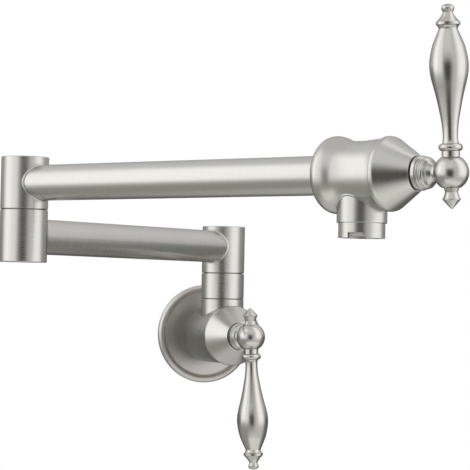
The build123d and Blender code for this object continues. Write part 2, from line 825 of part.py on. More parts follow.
def spout_body():
    """Waisted spout body with its tube socket, chamber, nozzle port and nozzle rim."""
    rim = nozzle_axis * ring(
        -nozzle_drop, 0, nozzle_diameter / 2 + saddle_rim_width, nozzle_diameter / 2 + fixed_gap
    )
    body = spout_form(0) + (rim & spout_form(saddle_rim_height))
    bores = (
        bar(spout_start, spout_start + tube_socket_depth, tube_radius + fixed_gap)
        + bar(spout_start, spout_seat, waterway_radius)
        + bar(spout_seat - chamber_depth, spout_seat, chamber_radius)
    )
    body -= upper_axis * bores
    return body - nozzle_axis * bar(-nozzle_drop, 0, nozzle_port_diameter / 2)


def spout_nozzle():
    """Nozzle whose upper end is cut to fit the spout body."""
    outer = nozzle_diameter / 2
    step = aerator_engagement - nozzle_drop
    nozzle = turned(
        (nozzle_bore / 2, 0),
        (outer, 0),
        (outer, nozzle_bevel - nozzle_drop),
        (outer - nozzle_bevel, -nozzle_drop),
        (aerator_thread_diameter / 2 + fixed_gap, -nozzle_drop),
        (aerator_thread_diameter / 2 + fixed_gap, step),
        (nozzle_ledge_bore / 2, step),
        (nozzle_ledge_bore / 2, step + nozzle_ledge_thickness),
        (nozzle_bore / 2, step + nozzle_ledge_thickness),
    )
    return nozzle_axis * nozzle - spout_form(fixed_gap)


def aerator_housing():
    """Threaded ring with a lip and a notch for its key."""
    outer = aerator_diameter / 2
    thread = aerator_thread_diameter / 2
    top = aerator_engagement - nozzle_drop - face_gap
    housing = turned(
        (aerator_lip_bore / 2, -aerator_drop),
        (outer, -aerator_drop),
        (outer, -nozzle_drop - face_gap),
        (thread, -nozzle_drop - face_gap),
        (thread, top),
        (aerator_bore / 2, top),
        (aerator_bore / 2, aerator_lip - aerator_drop),
        (aerator_lip_bore / 2, aerator_lip - aerator_drop),
    )
    notch = Pos(0, -outer, aerator_notch_height / 2 - aerator_drop) * Box(
        aerator_notch_width, aerator_diameter, aerator_notch_height
    )
    return nozzle_axis * (housing - Rot(0, 0, -aerator_notch_angle) * notch)


def aerator_insert():
    """Flow straightener with rings of holes round a middle one."""
    start = aerator_lip - aerator_drop + face_gap
    insert = bar(start, start + insert_height, aerator_bore / 2 - fixed_gap)
    hole = bar(start, start + insert_height, insert_hole_diameter / 2)
    insert -= hole
    for circle in range(1, insert_hole_rings + 1):
        count = 6 * circle
        for turn in range(count):
            insert -= Rot(0, 0, 360 / count * turn) * Pos(circle * insert_hole_spacing, 0, 0) * hole
    return nozzle_axis * insert


insert_top = aerator_lip - aerator_drop + face_gap + insert_height

nodes["elbow_upper_sleeve"] = upright(elbow_base) * turning_sleeve(
    upper_sleeve_bottom, upper_arm_height, upper_heading
)
nodes["elbow_top_cap"] = upright(elbow_base) * crown_cap(elbow_top)
nodes["upper_arm_tube"] = upright(elbow_base) * arm_tube(
    upper_arm_height, upper_heading, spout_start + tube_socket_depth
)
nodes["spout_body"] = spout_body()
nodes["spout_nozzle"] = spout_nozzle()
nodes["aerator_housing"] = aerator_housing()
nodes["aerator_insert"] = aerator_insert()
nodes["aerator_washer"] = nozzle_axis * ring(
    insert_top, aerator_engagement - nozzle_drop, aerator_bore / 2 - fixed_gap, nozzle_ledge_bore / 2
)

# ---------------------------------------------------------------- both valves and handles

for place, seat, turn in (
    ("wall", wall_valve_seat, 180 + wall_lever_lean),
    ("spout", spout_valve_seat, spout_lever_lean),
):
    nodes[place + "_bonnet"] = seat * bonnet()
    nodes[place + "_glide_ring"] = seat * glide_ring()
    nodes[place + "_cartridge"] = seat * cartridge_shell()
    nodes[place + "_cartridge_disc"] = seat * fixed_disc()
    nodes[place + "_cartridge_seal"] = seat * base_seal()
    handle = seat * Rot(0, 0, turn)
    nodes[place + "_handle_hub"] = handle * handle_hub()
    nodes[place + "_lever"] = handle * lever()
    nodes[place + "_finial"] = handle * finial()
    nodes[place + "_stem"] = handle * stem()
    nodes[place + "_stem_disc"] = handle * stem_disc()
    nodes[place + "_handle_screw"] = handle * hub_screw()

os.makedirs("parts", exist_ok=True)
for name, shape in nodes.items():
    export_step(shape, "parts/" + name + ".step")
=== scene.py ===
"""Looks of a wall mounted pot filler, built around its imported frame.

Sizes are in millimetres and turned into metres where a mesh is made. The wall is the plane Y = 0, the room is
towards -Y, and Z is up.
"""

import json
import logging
from collections.abc import Callable
from dataclasses import dataclass
from enum import Enum
from functools import partial
from math import atan2, cos, pi, radians, sin

import bmesh
import bpy
from mathutils import Matrix, Vector


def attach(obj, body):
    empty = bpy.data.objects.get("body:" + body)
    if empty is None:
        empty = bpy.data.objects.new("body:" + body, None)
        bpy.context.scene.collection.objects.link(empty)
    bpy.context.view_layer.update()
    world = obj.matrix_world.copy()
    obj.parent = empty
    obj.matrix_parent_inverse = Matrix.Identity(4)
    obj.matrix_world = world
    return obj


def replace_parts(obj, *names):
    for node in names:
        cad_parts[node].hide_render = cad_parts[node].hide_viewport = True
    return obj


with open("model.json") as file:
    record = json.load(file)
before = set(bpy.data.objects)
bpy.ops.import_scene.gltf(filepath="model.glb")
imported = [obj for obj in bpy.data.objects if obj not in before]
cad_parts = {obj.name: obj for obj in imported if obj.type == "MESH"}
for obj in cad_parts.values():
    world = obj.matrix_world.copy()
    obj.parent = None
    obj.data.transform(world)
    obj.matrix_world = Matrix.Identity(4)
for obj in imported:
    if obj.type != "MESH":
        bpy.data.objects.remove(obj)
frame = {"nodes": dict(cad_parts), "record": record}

MM = 0.001
WELD = 1e-5  # points of a piece that are nearer than this, in millimetres, are one
NOISE_MEAN = 0.5
MIX_LOW, MIX_HIGH, MIX_RESULT = 6, 7, 2  # a Mix node's colour sockets, by number: several share a name
UP = Vector((0, 0, 1))
INTO_WALL = Vector((0, 1, 0))
ROOM = Vector((0, -1, 0))
Colour = tuple[float, float, float]
Outline = list[tuple[float, float]]
Sockets = dict[str | int, object]
WHITE: Colour = (1.0, 1.0, 1.0)
log = logging.getLogger("pot_filler")


class Slot(Enum):
    """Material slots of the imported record."""

    SATIN_METAL = "satin_metal"
    HANDLE_METAL = "handle_metal"
    BARE_BRASS = "bare_brass"
    PLATE_STEEL = "plate_steel"
    SEAL_RUBBER = "seal_rubber"
    BLACK_PLASTIC = "black_plastic"
    WHITE_PLASTIC = "white_plastic"
    CERAMIC = "ceramic"


class Valve(Enum):
    """The two valves, as the names of their nodes begin."""

    WALL = "wall"
    SPOUT = "spout"


class Ray(Enum):
    """Kinds of ray, as the Light Path node names them."""

    CAMERA = "Is Camera Ray"
    GLOSSY = "Is Glossy Ray"
    TRANSMISSION = "Is Transmission Ray"


# ---------------------------------------------------------------- axes


@dataclass(frozen=True)
class Axis:
    """Line that pieces are turned about, in millimetres."""

    name: str
    base: Vector
    heading: Vector
    up: Vector = UP

    def matrix(self) -> Matrix:
        """Placement of a piece that is drawn about Z.

        Returns:
            Matrix in metres whose Z runs along the heading and whose Y is nearest to up.
        """
        along = self.heading.normalized()
        side = self.up.cross(along).normalized()
        turn = Matrix((side, along.cross(side), along)).transposed().to_4x4()
        return Matrix.Translation(self.base * MM) @ turn

    def point(self, distance: float) -> Vector:
        """Point of the axis at a distance from its base."""
        return self.base + self.heading.normalized() * distance


@dataclass(frozen=True)
class Layout:
    """Main places of the object, in millimetres and degrees.

    A seat is where a bonnet sits on its valve, counted from the wall or the elbow. A ball's place is counted
    from that seat, and the nozzle's from the elbow. A lean is how far a lever stands open at rest.
    """

    column_reach: float = 42.0
    lower_length: float = 212.0
    lower_angle: float = 35.5
    upper_angle: float = 57.8
    lower_height: float = 61.7
    upper_height: float = 94.6
    wall_seat: float = 64.0
    spout_seat: float = 276.0
    nozzle_place: float = 258.6
    ball_place: float = 40.2
    wall_lean: float = 2.5
    spout_lean: float = 4.0

    @property
    def lower_heading(self) -> Vector:
        """Direction of the lower arm, from the column to the elbow."""
        angle = radians(self.lower_angle)
        return Vector((-cos(angle), -sin(angle), 0))

    @property
    def upper_heading(self) -> Vector:
        """Direction of the upper arm, from the elbow to the spout."""
        angle = radians(self.upper_angle)
        return Vector((cos(angle), -sin(angle), 0))

    def inlet(self) -> Axis:
        """Axis of the inlet and the wall valve."""
        return Axis("inlet", Vector((0, 0, 0)), ROOM)

    def column(self) -> Axis:
        """Upright axis of the column."""
        return Axis("column", ROOM * self.column_reach, UP, INTO_WALL)

    def elbow(self) -> Axis:
        """Upright axis of the elbow."""
        return Axis("elbow", self.column().base + self.lower_heading * self.lower_length, UP, INTO_WALL)

    def lower_arm(self) -> Axis:
        """Axis of the lower arm's tube."""
        return Axis("lower_arm", self.column().point(self.lower_height), self.lower_heading)

    def upper_arm(self) -> Axis:
        """Axis of the upper arm's tube and the spout valve."""
        return Axis("upper_arm", self.elbow().point(self.upper_height), self.upper_heading)

    def nozzle(self) -> Axis:
        """Upright axis of the nozzle."""
        return Axis("nozzle", self.upper_arm().point(self.nozzle_place), UP, INTO_WALL)

    def handle(self, valve: Valve) -> Axis:
        """Axis of a handle's lever, from its ball's centre.

        Args:
            valve: The valve that the handle turns.

        Returns:
            The axis, with the valve's own heading as its up.
        """
        if valve is Valve.WALL:
            stem, seat, lean = self.inlet(), self.wall_seat, 180 + self.wall_lean
        else:
            stem, seat, lean = self.upper_arm(), self.spout_seat, self.spout_lean
        lever = Matrix.Rotation(radians(lean), 3, stem.heading.normalized()) @ UP
        return Axis(f"{valve.value}_lever", stem.point(seat + self.ball_place), lever, stem.heading)


LAYOUT = Layout()


# ---------------------------------------------------------------- shader graphs


class Wire:
    """Output of a shader node, on which arithmetic adds Math nodes."""

    def __init__(self, graph: "Graph", socket: bpy.types.NodeSocket) -> None:
        """Keeps the graph and the socket."""
        self.graph = graph
        self.socket = socket

    def __add__(self, other: "Wire | float") -> "Wire":
        """Sum."""
        return self.graph.math("ADD", self, other)

    def __radd__(self, other: float) -> "Wire":
        """Sum with a number on the left."""
        return self.graph.math("ADD", other, self)

    def __sub__(self, other: "Wire | float") -> "Wire":
        """Difference."""
        return self.graph.math("SUBTRACT", self, other)

    def __rsub__(self, other: float) -> "Wire":
        """Difference with a number on the left."""
        return self.graph.math("SUBTRACT", other, self)

    def __mul__(self, other: "Wire | float") -> "Wire":
        """Product."""
        return self.graph.math("MULTIPLY", self, other)

    def __rmul__(self, other: float) -> "Wire":
        """Product with a number on the left."""
        return self.graph.math("MULTIPLY", other, self)

    def __truediv__(self, other: "Wire | float") -> "Wire":
        """Quotient."""
        return self.graph.math("DIVIDE", self, other)

    def __pow__(self, other: float) -> "Wire":
        """Power."""
        return self.graph.math("POWER", self, other)

    def __abs__(self) -> "Wire":
        """Size without sign."""
        return self.graph.math("ABSOLUTE", self)

    def at_least(self, low: float) -> "Wire":
        """The value, or low where it is less."""
        return self.graph.math("MAXIMUM", self, low)

    def clamped(self) -> "Wire":
        """The value, kept between 0 and 1."""
        return self.graph.math("MINIMUM", self.at_least(0.0), 1.0)


class Graph:
    """Node tree of a material or a world."""

    def __init__(self, owner: bpy.types.Material | bpy.types.World) -> None:
        """Starts the owner's node tree afresh.

        Args:
            owner: The material or world, whose nodes are turned on.
        """
        owner.use_nodes = True
        self.tree = owner.node_tree
        self.tree.nodes.clear()

    def node(
        self, kind: str, settings: dict[str, object] | None = None, sockets: Sockets | None = None
    ) -> bpy.types.Node:
        """Adds one node.

        Args:
            kind: The node's type.
            settings: Its properties, set first.
            sockets: Values or wires for its inputs, by name or number.

        Returns:
            The new node.
        """
        made = self.tree.nodes.new(kind)
        for key, value in (settings or {}).items():
            setattr(made, key, value)
        for key, value in (sockets or {}).items():
            if isinstance(value, Wire):
                self.tree.links.new(value.socket, made.inputs[key])
            else:
                made.inputs[key].default_value = value
        return made

    def wire(self, kind: str, output: str | int = 0, **parts: dict) -> Wire:
        """Adds one node and gives one of its outputs.

        Args:
            kind: The node's type.
            output: Name or number of the output.
            parts: The settings and sockets of the node.

        Returns:
            The output.
        """
        return Wire(self, self.node(kind, **parts).outputs[output])

    def math(self, operation: str, *terms: Wire | float) -> Wire:
        """Adds a Math node over the terms.

        Args:
            operation: Name of the Math node's operation.
            terms: Values or wires, in the node's order.

        Returns:
            The node's output.
        """
        return self.wire("ShaderNodeMath", settings={"operation": operation}, sockets=dict(enumerate(terms)))

    def object_place(self) -> Wire:
        """Place on the object, in metres."""
        return self.wire("ShaderNodeTexCoord", "Object")

    def axis_parts(self, axis: Axis) -> tuple[Wire, Wire, Wire]:
        """Place seen from an axis.

        Args:
            axis: The axis.

        Returns:
            The two parts across the axis and the part along it, in metres.
        """
        matrix = axis.matrix()
        local = self.wire(
            "ShaderNodeMapping",
            settings={"vector_type": "TEXTURE"},
            sockets={
                "Vector": self.object_place(),
                "Location": matrix.to_translation(),
                "Rotation": matrix.to_euler(),
            },
        )
        split = self.node("ShaderNodeSeparateXYZ", sockets={"Vector": local})
        return tuple(Wire(self, output) for output in split.outputs)

    def noise(self, place: Wire, scale: float, detail: float = 2.0) -> Wire:
        """Noise between 0 and 1 at a place."""
        return self.wire("ShaderNodeTexNoise", sockets={"Vector": place, "Scale": scale, "Detail": detail})

    def rays(self, *kinds: Ray) -> Wire:
        """Tells the rays of some kinds from all others.

        Args:
            kinds: The kinds.

        Returns:
            1 for a ray of any of these kinds, and 0 for any other.
        """
        path = self.node("ShaderNodeLightPath")
        first, *others = (Wire(self, path.outputs[kind.value]) for kind in kinds)
        return sum(others, first).clamped()

    def dot(self, place: Wire, direction: Vector) -> Wire:
        """Part of a vector along a direction."""
        settings = {"operation": "DOT_PRODUCT"}
        return self.wire("ShaderNodeVectorMath", "Value", settings=settings, sockets={0: place, 1: direction})

    def tint(self, low: Colour | Wire, high: Colour | Wire, factor: Wire) -> Wire:
        """Colour between two colours, by a factor."""
        sockets = {"Factor": factor, MIX_LOW: opaque(low), MIX_HIGH: opaque(high)}
        return self.wire("ShaderNodeMix", MIX_RESULT, settings={"data_type": "RGBA"}, sockets=sockets)

    def blend(self, first: Wire, second: Wire, factor: Wire) -> Wire:
        """Shader between two shaders, by a factor."""
        return self.wire("ShaderNodeMixShader", sockets={0: factor, 1: first, 2: second})

    def bump(self, height: Wire, depth: float) -> Wire:
        """Normal over a height field whose full height is a depth in millimetres."""
        return self.wire("ShaderNodeBump", sockets={"Height": height, "Distance": depth * MM})

    def end_material(self, shader: Wire) -> None:
        """Shows a shader on the material's surface."""
        self.node("ShaderNodeOutputMaterial", sockets={"Surface": shader})


def opaque(colour: Colour | Wire) -> tuple[float, float, float, float] | Wire:
    """Colour as a socket takes it, with an alpha of 1. A wire stays as it is."""
    return colour if isinstance(colour, Wire) else (*colour, 1.0)


def scaled(colour: Colour, share: float) -> Colour:
    """Colour with each of its parts times a share."""
    return tuple(part * share for part in colour)


def weighted(waves: list[Wire], shares: tuple[float, ...]) -> Wire:
    """Sum of the waves, each times its share, without those that have none."""
    first, *others = (share * wave for wave, share in zip(waves, shares) if share)
    return sum(others, first)


# ---------------------------------------------------------------- finishes


def principled(name: str, sockets: Callable[[Graph], Sockets]) -> bpy.types.Material:
    """Material of one Principled shader.

    Args:
        name: The material's name.
        sockets: Gives the shader's inputs, whose nodes it adds to the material's graph.

    Returns:
        The material, made by the first call with its name.
    """
    if name not in bpy.data.materials:
        graph = Graph(bpy.data.materials.new(name))
        graph.end_material(graph.wire("ShaderNodeBsdfPrincipled", sockets=sockets(graph)))
    return bpy.data.materials[name]


@dataclass(frozen=True)
class Brushing:
    """Streaks that run round an axis, as brushing on a lathe leaves, with a faint cloud over them.

    Pitches and the core's radius are in millimetres. Changes are how often a streak changes in a radian of
    its way round. The slant lets the streaks ring flat ends too, and within the core they fade out. The shares
    say how much of the fine streaks, the broad ones and the cloud goes into the colour, the roughness and the
    bump.
    """

    fine_pitch: float = 0.35
    fine_changes: float = 1.5
    fine_detail: float = 2.0
    broad_pitch: float = 2.2
    broad_changes: float = 0.8
    broad_detail: float = 3.0
    cloud_scale: float = 45.0
    slant: float = 0.7
    core: float = 0.1
    colour_shares: tuple[float, float, float] = (0.5, 0.3, 0.2)
    roughness_shares: tuple[float, float, float] = (0.6, 0.0, 0.4)
    bump_shares: tuple[float, float, float] = (0.7, 0.3, 0.0)

    def waves(self, graph: Graph, axis: Axis) -> list[Wire]:
        """Fine streaks, broad streaks and cloud.

        Args:
            graph: The material's graph.
            axis: The axis that the brushing ran round.

        Returns:
            Three noises between 0 and 1.
        """
        fine = self._streaks(graph, axis, self.fine_pitch, self.fine_changes, self.fine_detail)
        broad = self._streaks(graph, axis, self.broad_pitch, self.broad_changes, self.broad_detail)
        return [fine, broad, graph.noise(graph.object_place(), self.cloud_scale)]

    def _streaks(self, graph: Graph, axis: Axis, pitch: float, changes: float, detail: float) -> Wire:
        """Streaks of one pitch.

        Args:
            graph: The material's graph.
            axis: The axis.
            pitch: Width of the streaks, in millimetres.
            changes: How often a streak changes in a radian of its way round.
            detail: Octaves of the noise.

        Returns:
            Noise between 0 and 1.
        """
        across, over, along = graph.axis_parts(axis)
        radius = ((across * across + over * over) ** 0.5).at_least(self.core * MM)
        lookup = {
            "X": across / radius * changes,
            "Y": over / radius * changes,
            "Z": (along + radius * self.slant) / (pitch * MM),
        }
        return graph.noise(graph.wire("ShaderNodeCombineXYZ", sockets=lookup), 1.0, detail)


@dataclass(frozen=True)
class BrushedMetal:
    """Metal that was brushed while it turned.

    The edge is its tint near grazing angles. Spread and shade say how far the roughness and the colour vary,
    and the depth is that of the streaks in millimetres.
    """

    name: str
    colour: Colour
    edge: float
    roughness: float
    spread: float
    shade: float
    depth: float
    brushing: Brushing = Brushing()

    def material(self, axis: Axis) -> bpy.types.Material:
        """Material whose brushing runs round an axis."""
        return principled(f"{self.name}.{axis.name}", partial(self._sockets, axis=axis))

    def _sockets(self, graph: Graph, axis: Axis) -> Sockets:
        """Inputs of the shader.

        Args:
            graph: The material's graph.
            axis: The axis that the brushing ran round.

        Returns:
            Values and wires by name.
        """
        brushing = self.brushing
        waves = brushing.waves(graph, axis)
        dark, light = scaled(self.colour, 1 - self.shade), scaled(self.colour, 1 + self.shade)
        rougher = weighted(waves, brushing.roughness_shares) - NOISE_MEAN
        return {
            "Metallic": 1.0,
            "Specular Tint": opaque((self.edge, self.edge, self.edge)),
            "Base Color": graph.tint(dark, light, weighted(waves, brushing.colour_shares)),
            "Roughness": self.roughness + rougher * self.spread,
            "Normal": graph.bump(weighted(waves, brushing.bump_shares), self.depth),
        }


@dataclass(frozen=True)
class MouldedRubber:
    """Matte rubber, plastic or ceramic with a faint grain, whose size and depth are in millimetres."""

    name: str
    colour: Colour
    roughness: float
    grain: float
    depth: float
    spread: float = 0.15
    shade: float = 0.2
    specular: float = 0.4
    grain_detail: float = 3.0
    cloud_scale: float = 90.0

    def material(self, axis: Axis) -> bpy.types.Material:
        """Material with an even grain. Its look doesn't depend on the axis."""
        return principled(self.name, self._sockets)

    def _sockets(self, graph: Graph) -> Sockets:
        """Inputs of the shader.

        Args:
            graph: The material's graph.

        Returns:
            Values and wires by name.
        """
        grain = graph.noise(graph.object_place(), 1 / (self.grain * MM), self.grain_detail)
        cloud = graph.noise(graph.object_place(), self.cloud_scale)
        return {
            "Specular IOR Level": self.specular,
            "Base Color": graph.tint(scaled(self.colour, 1 - self.shade), self.colour, cloud),
            "Roughness": self.roughness + (grain - NOISE_MEAN) * self.spread,
            "Normal": graph.bump(grain, self.depth),
        }


SATIN_NICKEL = BrushedMetal(
    "satin_nickel", (0.655, 0.635, 0.61), edge=0.6, roughness=0.28, spread=0.08, shade=0.07, depth=0.014
)
# The flange is brushed softer than the rest, so that its dish mirrors the barrel only faintly.
SOFT_NICKEL = BrushedMetal(
    "soft_nickel", (0.65, 0.63, 0.61), edge=0.4, roughness=0.37, spread=0.08, shade=0.06, depth=0.01
)
HANDLE_NICKEL = BrushedMetal(
    "handle_nickel", (0.66, 0.64, 0.61), edge=0.35, roughness=0.24, spread=0.06, shade=0.05, depth=0.012
)
TURNED_BRASS = BrushedMetal(
    "turned_brass", (0.78, 0.6, 0.32), edge=0.8, roughness=0.28, spread=0.1, shade=0.08, depth=0.02
)
PLAIN_STEEL = BrushedMetal(
    "plain_steel", (0.5, 0.5, 0.49), edge=0.7, roughness=0.34, spread=0.12, shade=0.08, depth=0.02
)
SEAL_RUBBER = MouldedRubber("seal_rubber", (0.02, 0.02, 0.02), roughness=0.7, grain=0.6, depth=0.02)
BLACK_PLASTIC = MouldedRubber("black_plastic", (0.012, 0.012, 0.012), roughness=0.45, grain=0.8, depth=0.01)
WHITE_PLASTIC = MouldedRubber("white_plastic", (0.7, 0.7, 0.67), roughness=0.4, grain=0.9, depth=0.01)
GROUND_CERAMIC = MouldedRubber("ground_ceramic", (0.82, 0.8, 0.75), roughness=0.25, grain=0.3, depth=0.004)

FINISHES: dict[Slot, BrushedMetal | MouldedRubber] = {
    Slot.SATIN_METAL: SATIN_NICKEL,
    Slot.HANDLE_METAL: HANDLE_NICKEL,
    Slot.BARE_BRASS: TURNED_BRASS,
    Slot.PLATE_STEEL: PLAIN_STEEL,
    Slot.SEAL_RUBBER: SEAL_RUBBER,
    Slot.BLACK_PLASTIC: BLACK_PLASTIC,
    Slot.WHITE_PLASTIC: WHITE_PLASTIC,
    Slot.CERAMIC: GROUND_CERAMIC,
}


# ---------------------------------------------------------------- meshes


def scene_object(name: str, shape: bmesh.types.BMesh, material: bpy.types.Material) -> bpy.types.Object:
    """Turns a finished bmesh into an object of the scene.

    Args:
        name: The object's name.
        shape: The bmesh, in metres, which is freed.
        material: The object's only material.

    Returns:
        The object, at the origin.
    """
    data = bpy.data.meshes.new(name)
    shape.to_mesh(data)
    shape.free()
    data.materials.append(material)
    made = bpy.data.objects.new(name, data)
    bpy.context.scene.collection.objects.link(made)
    return made


def spun(outline: Outline, steps: int) -> bmesh.types.BMesh:
    """Turns an outline of (radius, height) points about Z.

    Args:
        outline: The corners, in order. One that starts on Z ends there too, and any other is joined up.
        steps: Faces on the way round.

    Returns:
        The turned shape, in millimetres.
    """
    shape = bmesh.new()
    corners = [shape.verts.new((radius, 0, height)) for radius, height in outline]
    ends = corners[1:] if outline[0][0] == 0 else corners[1:] + corners[:1]
    edges = [shape.edges.new(pair) for pair in zip(corners, ends)]
    bmesh.ops.spin(
        shape,
        geom=corners + edges,
        cent=(0, 0, 0),
        axis=UP,
        angle=2 * pi,
        steps=steps,
        use_merge=True,
    )
    bmesh.ops.remove_doubles(shape, verts=shape.verts, dist=WELD)
    return shape


def thread_grooves(
    start: float, turns: int, pitch: float, crest: float, face: float, floor: float
) -> Outline:
    """Outline of a thread whose turns are V grooves.

    Args:
        start: Height where the first turn begins.
        turns: Number of turns.
        pitch: Height of a turn.
        crest: Share of the pitch that stays flat at either side of a groove.
        face: Radius beside the grooves.
        floor: Radius at their bottoms.

    Returns:
        Three corners for each turn, upwards.
    """
    groove = ((face, crest), (floor, 0.5), (face, 1 - crest))
    lows = [start + turn * pitch for turn in range(turns)]
    return [(radius, low + pitch * share) for low in lows for radius, share in groove]


def add_piece(
    name: str, shape: bmesh.types.BMesh, axis: Axis, body: str, slot: Slot, brushing: Axis | None = None
) -> bpy.types.Object:
    """Adds a piece that moves with a CAD body.

    Args:
        name: The piece's name.
        shape: The piece in millimetres, drawn about Z.
        axis: Where its Z axis goes.
        body: The CAD body.
        slot: The material slot whose finish it takes.
        brushing: The axis that its finish runs round, where that is another.

    Returns:
        The piece.
    """
    bmesh.ops.recalc_face_normals(shape, faces=shape.faces)
    bmesh.ops.scale(shape, verts=shape.verts, vec=(MM, MM, MM))
    bmesh.ops.transform(shape, matrix=axis.matrix(), verts=shape.verts)
    piece = scene_object(name, shape, FINISHES[slot].material(brushing or axis))
    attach(piece, body)
    log.info("piece %s: %d faces", name, len(piece.data.polygons))
    return piece


def stand_in(name: str, shape: bmesh.types.BMesh, axis: Axis, slot: Slot, node: str) -> None:
    """Shows a piece in place of a CAD node, on the node's own body.

    Args:
        name: The piece's name.
        shape: The piece in millimetres, drawn about Z.
        axis: Where its Z axis goes.
        slot: The material slot whose finish it takes.
        node: The CAD node.
    """
    body = next(body for body, nodes in frame["record"]["behaviour"]["bodies"].items() if node in nodes)
    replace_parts(add_piece(name, shape, axis, body, slot), node)


# ---------------------------------------------------------------- trim


@dataclass(frozen=True)
class SolderBeads:
    """Fine solder beads round the ends of the arm tubes, where they meet their sleeves, in millimetres."""

    tube_radius: float = 11.1
    sleeve_radius: float = 14.9
    thickness: float = 1.5
    section_corners: int = 12
    steps: int = 96

    def build(self) -> None:
        """Adds a bead at each end of the lower arm and at the elbow end of the upper arm."""
        lower, upper = LAYOUT.lower_arm(), LAYOUT.upper_arm()
        far = Axis(lower.name, lower.point(LAYOUT.lower_length), -lower.heading)
        self._bead("column_solder_bead", lower, lower, "lower_arm")
        self._bead("elbow_solder_bead", far, lower, "lower_arm")
        self._bead("upper_arm_solder_bead", upper, upper, "upper_arm")

    def _bead(self, name: str, axis: Axis, brushing: Axis, body: str) -> None:
        """Adds one bead: a ring round the tube, pushed out to the sleeve's surface.

        Args:
            name: The piece's name.
            axis: The tube's axis, from the sleeve's own axis outwards.
            brushing: The axis that the tube is brushed about.
            body: The CAD body that it rides on.
        """
        half = self.thickness / 2
        turns = [2 * pi * corner / self.section_corners for corner in range(self.section_corners)]
        shape = spun([(self.tube_radius + half * cos(turn), half * sin(turn)) for turn in turns], self.steps)
        for vert in shape.verts:
            vert.co.z += (self.sleeve_radius**2 - vert.co.x**2) ** 0.5
        add_piece(name, shape, axis, body, Slot.SATIN_METAL, brushing)


@dataclass(frozen=True)
class CollarShadowRing:
    """Thin black ring of painted shade in the shadow gap at the foot of the column's collar, standing in for
    the gap's shadow, in millimetres.
    """

    height: float = 25.11
    thickness: float = 0.28
    inner_radius: float = 14.12
    outer_radius: float = 14.52
    steps: int = 96

    def build(self) -> None:
        """Adds the black ring of painted shade, which stays with the wall's body."""
        low, high = self.height, self.height + self.thickness
        inner, outer = self.inner_radius, self.outer_radius
        shape = spun([(inner, low), (outer, low), (outer, high), (inner, high)], self.steps)
        add_piece("collar_shadow_ring", shape, LAYOUT.column(), "wall_body", Slot.SEAL_RUBBER)


# ---------------------------------------------------------------- pieces in place of CAD nodes


@dataclass(frozen=True)
class GrubScrew:
    """Headless screw with a hexagon socket, chamfered ends and thread grooves, in millimetres.

    The socket is measured across its flats. Its depth is a share of the screw's length, and its margin is the
    share of the radius that the end is first inset by.
    """

    node: str
    axis: Axis
    radius: float
    length: float
    socket: float
    pitch: float
    thread_depth: float = 0.18
    crest: float = 0.1
    chamfer: float = 0.3
    socket_depth: float = 0.45
    socket_margin: float = 0.2
    steps: int = 48

    def build(self) -> None:
        """Adds the screw in place of its plain CAD node."""
        shape = spun([(0.0, 0.0), *self._side(), (0.0, self.length)], self.steps)
        self._sink_socket(shape)
        stand_in(f"{self.node}_with_socket", shape, self.axis, Slot.PLATE_STEEL, self.node)

    def _side(self) -> Outline:
        """Outline of the side.

        Returns:
            Its corners, from the inner end to the outer one.
        """
        face, end = self.radius, self.radius - self.chamfer
        turns = int((self.length - 2 * self.chamfer) / self.pitch)
        start = (self.length - turns * self.pitch) / 2
        side = [(end, 0.0), (face, self.chamfer)]
        side += thread_grooves(start, turns, self.pitch, self.crest, face, face - self.thread_depth)
        return [*side, (face, self.length - self.chamfer), (end, self.length)]

    def _sink_socket(self, shape: bmesh.types.BMesh) -> None:
        """Cuts the hexagon socket into the outer end.

        Args:
            shape: The turned screw.
        """
        tip = [face for face in shape.faces if min(vert.co.z for vert in face.verts) > self.length - WELD]
        cap = bmesh.ops.dissolve_faces(shape, faces=tip)["region"]
        bmesh.ops.inset_region(shape, faces=cap, thickness=self.radius * self.socket_margin)
        for vert in cap[0].verts:
            angle = atan2(vert.co.y, vert.co.x)
            reach = self.socket / 2 / cos(angle % (pi / 3) - pi / 6)
            vert.co.x, vert.co.y = reach * cos(angle), reach * sin(angle)
        sunk = bmesh.ops.extrude_discrete_faces(shape, faces=cap)["faces"]
        bmesh.ops.translate(shape, verts=sunk[0].verts, vec=UP * -self.socket_depth * self.length)


@dataclass(frozen=True)
class GrubScrews:
    """The three socket screws that hold the handles and the body, in millimetres.

    A hub's place is counted from the bonnet's seat, and the body's from the wall. A screw's start and end are
    distances from the axis that it points at.
    """

    hub_place: float = 25.2
    hub_start: float = 4.05
    hub_end: float = 7.25
    hub_radius: float = 1.5
    hub_socket: float = 1.5
    hub_pitch: float = 0.5
    body_place: float = 22.0
    body_start: float = 13.06
    body_end: float = 18.9
    body_radius: float = 2.5
    body_socket: float = 2.5
    body_pitch: float = 0.8

    def build(self) -> None:
        """Adds the screws of the two handles and the body's."""
        length = self.hub_end - self.hub_start
        for valve in Valve:
            node, axis = f"{valve.value}_handle_screw", self._hub_axis(valve)
            GrubScrew(node, axis, self.hub_radius, length, self.hub_socket, self.hub_pitch).build()
        foot = LAYOUT.inlet().point(self.body_place) - UP * self.body_start
        axis = Axis("body_screw", foot, -UP, ROOM)
        length = self.body_end - self.body_start
        GrubScrew("body_screw", axis, self.body_radius, length, self.body_socket, self.body_pitch).build()

    def _hub_axis(self, valve: Valve) -> Axis:
        """Axis of a handle's screw, from its inner end outwards.

        Args:
            valve: The valve that the handle turns.

        Returns:
            The axis, opposite to the lever.
        """
        lever = LAYOUT.handle(valve)
        foot = lever.base - lever.up.normalized() * (LAYOUT.ball_place - self.hub_place)
        away = -lever.heading.normalized()
        return Axis(f"{valve.value}_screw", foot + away * self.hub_start, away, lever.up)


